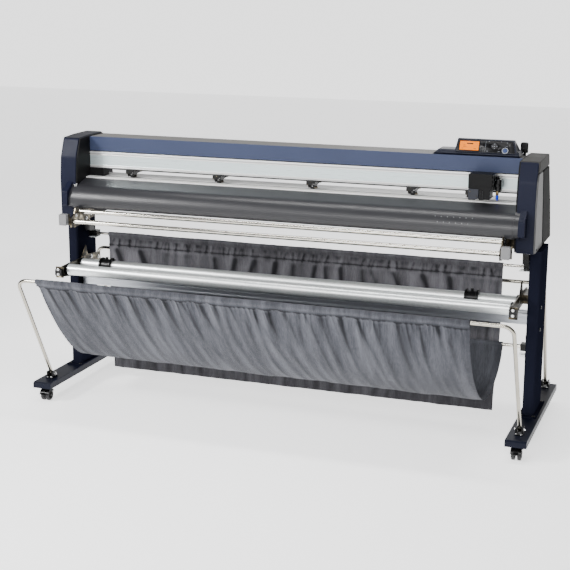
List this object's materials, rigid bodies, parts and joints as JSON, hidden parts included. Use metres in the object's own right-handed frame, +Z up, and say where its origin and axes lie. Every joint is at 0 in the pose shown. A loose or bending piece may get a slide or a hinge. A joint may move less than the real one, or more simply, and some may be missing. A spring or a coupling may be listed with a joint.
{
  "type": "roll vinyl cutter",
  "caption": "Wide roll vinyl cutter on a wheeled stand, with a cutting carriage on a rail, pinch rollers, roll tubes and a cloth media basket.",
  "frame": {"origin": "middle of the footprint of the whole part, on the floor", "axes": "+Z up, +X to the operator's right along the rail, the operator stands at -Y"},
  "size_m": [2.23, 0.9878, 1.2381],
  "materials": {
    "navy_paint": "satin",
    "navy_cover": "satin",
    "gray_cover": "satin",
    "gray_top": "satin",
    "dark_frame": "matte",
    "satin_aluminium": "anodised",
    "rail_aluminium": "anodised",
    "white_platen": "satin",
    "tan_strip": "satin",
    "charcoal_cover": "satin",
    "console_navy": "satin",
    "panel_black": "semi-gloss",
    "orange_display": "semi-gloss",
    "silver_key": "gloss",
    "key_gray": "matte",
    "bronze_steel": "satin",
    "light_gray_cap": "matte",
    "chrome_bar": "polished",
    "zinc_tube": "galvanised",
    "black_plastic": "satin",
    "carriage_black": "satin",
    "black_steel": "satin",
    "grit_steel": "grit",
    "caster_tyre": "matte",
    "back_fabric": "woven",
    "basket_fabric": "woven"
  },
  "bodies": {
    "machine": {"foot_left": "navy_paint", "foot_right": "navy_paint", "column_left": "navy_paint", "column_right": "navy_paint", "crossbar": "satin_aluminium", "screws": "black_steel", "side_cover_left": "navy_cover", "side_cover_right": "gray_cover", "side_frames": "dark_frame", "chassis": "dark_frame", "platen": "white_platen", "cutting_strip": "tan_strip", "front_cover": "charcoal_cover", "rear_cover": "charcoal_cover", "beam_cover": "navy_cover", "beam_top": "gray_top", "y_rail": "rail_aluminium", "console_housing": "console_navy", "console_panel": "panel_black", "lcd_screen": "orange_display", "guide_bar_brackets": "bronze_steel", "guide_bar_blocks": "light_gray_cap", "tube_brackets": "bronze_steel", "cloth_rods": "chrome_bar", "rod_clamps": "black_plastic", "back_cloth": "back_fabric", "basket_cloth": "basket_fabric", "pivot_shaft": "black_steel"},
    "caster_front_left": {"caster_fork_front_left": "black_plastic"},
    "wheels_front_left": {"caster_wheels_front_left": "caster_tyre"},
    "caster_front_right": {"caster_fork_front_right": "black_plastic"},
    "wheels_front_right": {"caster_wheels_front_right": "caster_tyre"},
    "caster_rear_left": {"caster_fork_rear_left": "black_plastic"},
    "wheels_rear_left": {"caster_wheels_rear_left": "caster_tyre"},
    "caster_rear_right": {"caster_fork_rear_right": "black_plastic"},
    "wheels_rear_right": {"caster_wheels_rear_right": "caster_tyre"},
    "front_pole": {"front_pole": "chrome_bar"},
    "rear_pole": {"rear_pole": "chrome_bar"},
    "front_tube": {"front_tube": "zinc_tube"},
    "rear_tube": {"rear_tube": "zinc_tube"},
    "ring_left": {"ring_left": "black_plastic"},
    "ring_right": {"ring_right": "black_plastic"},
    "upper_guide_bar": {"upper_guide_bar": "chrome_bar"},
    "lower_guide_bar": {"lower_guide_bar": "chrome_bar"},
    "media_lever": {"media_lever": "black_plastic"},
    "pinch_arm_1": {"pinch_arm_1": "black_steel"},
    "pinch_wheel_1": {"pinch_wheel_1": "bronze_steel"},
    "pinch_arm_2": {"pinch_arm_2": "black_steel"},
    "pinch_wheel_2": {"pinch_wheel_2": "bronze_steel"},
    "pinch_arm_3": {"pinch_arm_3": "black_steel"},
    "pinch_wheel_3": {"pinch_wheel_3": "bronze_steel"},
    "pinch_arm_4": {"pinch_arm_4": "black_steel"},
    "pinch_wheel_4": {"pinch_wheel_4": "bronze_steel"},
    "pinch_arm_5": {"pinch_arm_5": "black_steel"},
    "pinch_wheel_5": {"pinch_wheel_5": "bronze_steel"},
    "grit_drum": {"grit_drum": "grit_steel"},
    "carriage": {"carriage": "carriage_black"},
    "tool_holder": {"tool_holder": "carriage_black"},
    "start_button": {"start_button": "silver_key"},
    "arrow_pad": {"arrow_pad": "key_gray"}
  },
  "joints": [
    {"name": "caster_swivel_front_left", "type": "hinge", "parent": "machine", "child": "caster_front_left", "pos_m": [-1.071, -0.25408, 0.066], "axis": [0, 0, 1], "continuous": true},
    {"name": "caster_roll_front_left", "type": "hinge", "parent": "caster_front_left", "child": "wheels_front_left", "pos_m": [-1.071, -0.27208, 0.025], "axis": [1, 0, 0], "continuous": true},
    {"name": "caster_swivel_front_right", "type": "hinge", "parent": "machine", "child": "caster_front_right", "pos_m": [1.071, -0.25408, 0.066], "axis": [0, 0, 1], "continuous": true},
    {"name": "caster_roll_front_right", "type": "hinge", "parent": "caster_front_right", "child": "wheels_front_right", "pos_m": [1.071, -0.27208, 0.025], "axis": [1, 0, 0], "continuous": true},
    {"name": "caster_swivel_rear_left", "type": "hinge", "parent": "machine", "child": "caster_rear_left", "pos_m": [-1.071, 0.43192, 0.066], "axis": [0, 0, 1], "continuous": true},
    {"name": "caster_roll_rear_left", "type": "hinge", "parent": "caster_rear_left", "child": "wheels_rear_left", "pos_m": [-1.071, 0.44992, 0.025], "axis": [1, 0, 0], "continuous": true},
    {"name": "caster_swivel_rear_right", "type": "hinge", "parent": "machine", "child": "caster_rear_right", "pos_m": [1.071, 0.43192, 0.066], "axis": [0, 0, 1], "continuous": true},
    {"name": "caster_roll_rear_right", "type": "hinge", "parent": "caster_rear_right", "child": "wheels_rear_right", "pos_m": [1.071, 0.44992, 0.025], "axis": [1, 0, 0], "continuous": true},
    {"name": "front_pole_tilt", "type": "hinge", "parent": "machine", "child": "front_pole", "pos_m": [0, -0.22308, 0.112], "axis": [-1, 0, 0], "range_deg": [0, 27], "deforming": ["basket_cloth"]},
    {"name": "rear_pole_tilt", "type": "hinge", "parent": "machine", "child": "rear_pole", "pos_m": [0, 0.43392, 0.112], "axis": [-1, 0, 0], "range_deg": [0, 40]},
    {"name": "front_tube_turn", "type": "hinge", "parent": "machine", "child": "front_tube", "pos_m": [0, -0.15308, 0.59], "axis": [1, 0, 0], "continuous": true},
    {"name": "rear_tube_turn", "type": "hinge", "parent": "machine", "child": "rear_tube", "pos_m": [0, -0.02508, 0.59], "axis": [1, 0, 0], "continuous": true},
    {"name": "ring_left_slide", "type": "slide", "parent": "rear_tube", "child": "ring_left", "axis": [1, 0, 0], "range_m": [-0.06, 0.8]},
    {"name": "ring_right_slide", "type": "slide", "parent": "rear_tube", "child": "ring_right", "axis": [1, 0, 0], "range_m": [-0.8, 0.12]},
    {"name": "upper_guide_bar_turn", "type": "hinge", "parent": "machine", "child": "upper_guide_bar", "pos_m": [0, -0.13808, 0.858], "axis": [1, 0, 0], "continuous": true},
    {"name": "lower_guide_bar_turn", "type": "hinge", "parent": "machine", "child": "lower_guide_bar", "pos_m": [0, -0.18708, 0.82], "axis": [1, 0, 0], "continuous": true},
    {"name": "media_lever_tilt", "type": "hinge", "parent": "machine", "child": "media_lever", "pos_m": [0.976, 0.16892, 1.146], "axis": [-1, 0, 0], "range_deg": [0, 48]},
    {"name": "pinch_lift_1", "type": "hinge", "parent": "machine", "child": "pinch_arm_1", "pos_m": [-0.779, 0.11092, 1.017], "axis": [-1, 0, 0], "range_deg": [0, 6]},
    {"name": "pinch_wheel_turn_1", "type": "hinge", "parent": "pinch_arm_1", "child": "pinch_wheel_1", "pos_m": [-0.779, 0.05892, 1.001], "axis": [1, 0, 0], "continuous": true},
    {"name": "pinch_lift_2", "type": "hinge", "parent": "machine", "child": "pinch_arm_2", "pos_m": [-0.353, 0.11092, 1.017], "axis": [-1, 0, 0], "range_deg": [0, 6]},
    {"name": "pinch_wheel_turn_2", "type": "hinge", "parent": "pinch_arm_2", "child": "pinch_wheel_2", "pos_m": [-0.353, 0.05892, 1.001], "axis": [1, 0, 0], "continuous": true},
    {"name": "pinch_lift_3", "type": "hinge", "parent": "machine", "child": "pinch_arm_3", "pos_m": [0.085, 0.11092, 1.017], "axis": [-1, 0, 0], "range_deg": [0, 6]},
    {"name": "pinch_wheel_turn_3", "type": "hinge", "parent": "pinch_arm_3", "child": "pinch_wheel_3", "pos_m": [0.085, 0.05892, 1.001], "axis": [1, 0, 0], "continuous": true},
    {"name": "pinch_lift_4", "type": "hinge", "parent": "machine", "child": "pinch_arm_4", "pos_m": [0.529, 0.11092, 1.017], "axis": [-1, 0, 0], "range_deg": [0, 6]},
    {"name": "pinch_wheel_turn_4", "type": "hinge", "parent": "pinch_arm_4", "child": "pinch_wheel_4", "pos_m": [0.529, 0.05892, 1.001], "axis": [1, 0, 0], "continuous": true},
    {"name": "pinch_lift_5", "type": "hinge", "parent": "machine", "child": "pinch_arm_5", "pos_m": [0.78, 0.11092, 1.017], "axis": [-1, 0, 0], "range_deg": [0, 6]},
    {"name": "pinch_wheel_turn_5", "type": "hinge", "parent": "pinch_arm_5", "child": "pinch_wheel_5", "pos_m": [0.78, 0.05892, 1.001], "axis": [1, 0, 0], "continuous": true},
    {"name": "grit_drum_turn", "type": "hinge", "parent": "machine", "child": "grit_drum", "pos_m": [0, 0.05892, 0.9795], "axis": [1, 0, 0], "continuous": true},
    {"name": "carriage_travel", "type": "slide", "parent": "machine", "child": "carriage", "axis": [1, 0, 0], "range_m": [-1.76, 0.065]},
    {"name": "tool_drop", "type": "slide", "parent": "carriage", "child": "tool_holder", "axis": [0, 0, 1], "range_m": [-0.0035, 0], "stiffness_N_per_m": 300, "springref_m": 0.01},
    {"name": "start_button_press", "type": "slide", "parent": "machine", "child": "start_button", "axis": [0, 0.8988, -0.4384], "range_m": [0, 0.001], "stiffness_N_per_m": 600, "springref_m": -0.0005},
    {"name": "arrow_pad_press", "type": "slide", "parent": "machine", "child": "arrow_pad", "axis": [0, 0.8988, -0.4384], "range_m": [0, 0.001], "stiffness_N_per_m": 600, "springref_m": -0.0005}
  ],
  "couplings": [
    {"joint": "pinch_lift_1", "follows": "media_lever_tilt", "ratio": 0.125},
    {"joint": "pinch_lift_2", "follows": "media_lever_tilt", "ratio": 0.125},
    {"joint": "pinch_lift_3", "follows": "media_lever_tilt", "ratio": 0.125},
    {"joint": "pinch_lift_4", "follows": "media_lever_tilt", "ratio": 0.125},
    {"joint": "pinch_lift_5", "follows": "media_lever_tilt", "ratio": 0.125}
  ]
}
